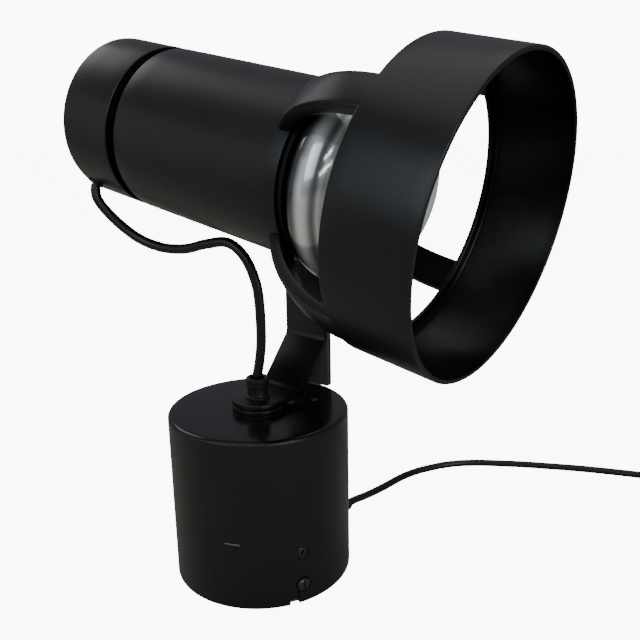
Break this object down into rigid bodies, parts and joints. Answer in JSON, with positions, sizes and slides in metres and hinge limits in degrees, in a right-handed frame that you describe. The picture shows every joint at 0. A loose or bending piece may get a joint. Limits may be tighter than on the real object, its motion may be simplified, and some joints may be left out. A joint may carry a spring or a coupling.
{
  "type": "adjustable wall lamp",
  "caption": "Black adjustable spot lamp: round canopy drum, swivelling bent bracket, and a tilting tube head with an open hood ring on curved legs around a reflector bulb.",
  "frame": {"origin": "centre of the wall plate's underside, in the plane of the drum's open edge", "axes": "+Z along the drum's axis, out of the wall; +X towards the head's nose; +Y to the side where the bracket's upright stands"},
  "size_m": [0.3657, 0.3251, 0.2941],
  "materials": {
    "black_metal": "satin black lacquer with a fine orange-peel",
    "inner_black": "matt black",
    "black_plastic": "matt, slightly worn",
    "cord_pvc": "soft satin cord sheath",
    "screw_steel": "blackened steel with worn edges",
    "bright_steel": "plated steel",
    "brass": "plain brass",
    "holder_white": "glazed white insulator",
    "terminal_white": "moulded insulator",
    "washer_fibre": "fibre",
    "cap_metal": "plain bulb cap",
    "bulb": "silvered behind, frosted in front"
  },
  "bodies": {
    "base": {"wall_plate": "bright_steel", "canopy_drum": "black_metal", "lock_screws": "screw_steel", "set_screw": "screw_steel", "terminal_block": "terminal_white", "terminal_screws": "brass", "mains_gland": "black_plastic", "mains_tail": "cord_pvc", "lead_tail": "cord_pvc", "swivel_disc": "black_metal", "stop_stud": "bright_steel", "mains_cord": "cord_pvc", "cord_coil": "cord_pvc", "cord_tie": "black_plastic", "plug_lead": "cord_pvc", "plug_body": "black_plastic", "plug_pins": "bright_steel"},
    "arm": {"bracket": "black_metal", "back_plate": "black_metal", "bracket_rivets": "black_metal", "swivel_nipple": "bright_steel", "gland_bush": "black_plastic", "wave_washer": "bright_steel", "stop_washer": "bright_steel", "swivel_nut": "brass"},
    "head": {"head_lead": "cord_pvc", "body_tube": "black_metal", "neck_sleeve": "inner_black", "rear_cap": "black_metal", "cap_grommet": "black_plastic", "lead_end": "cord_pvc", "front_ring": "inner_black", "hood_legs": "black_metal", "hood_ring": "black_metal", "holder_plate": "bright_steel", "plate_screws": "bright_steel", "lampholder": "holder_white", "holder_contacts": "brass", "bulb_cap": "cap_metal", "bulb_glass": "bulb", "pivot_pad": "black_metal", "friction_washer": "washer_fibre", "spring_washer": "bright_steel", "pivot_screw": "screw_steel", "pivot_nut": "brass"}
  },
  "joints": [
    {"name": "arm_swivel", "type": "hinge", "parent": "base", "child": "arm", "pos_m": [0, 0, 0.095], "axis": [0, 0, 1], "range_deg": [-170, 170]},
    {"name": "head_tilt", "type": "hinge", "parent": "arm", "child": "head", "pos_m": [0, 0, 0.2346], "axis": [0, 1, 0], "range_deg": [-60, 25], "deforming": ["head_lead"]}
  ]
}
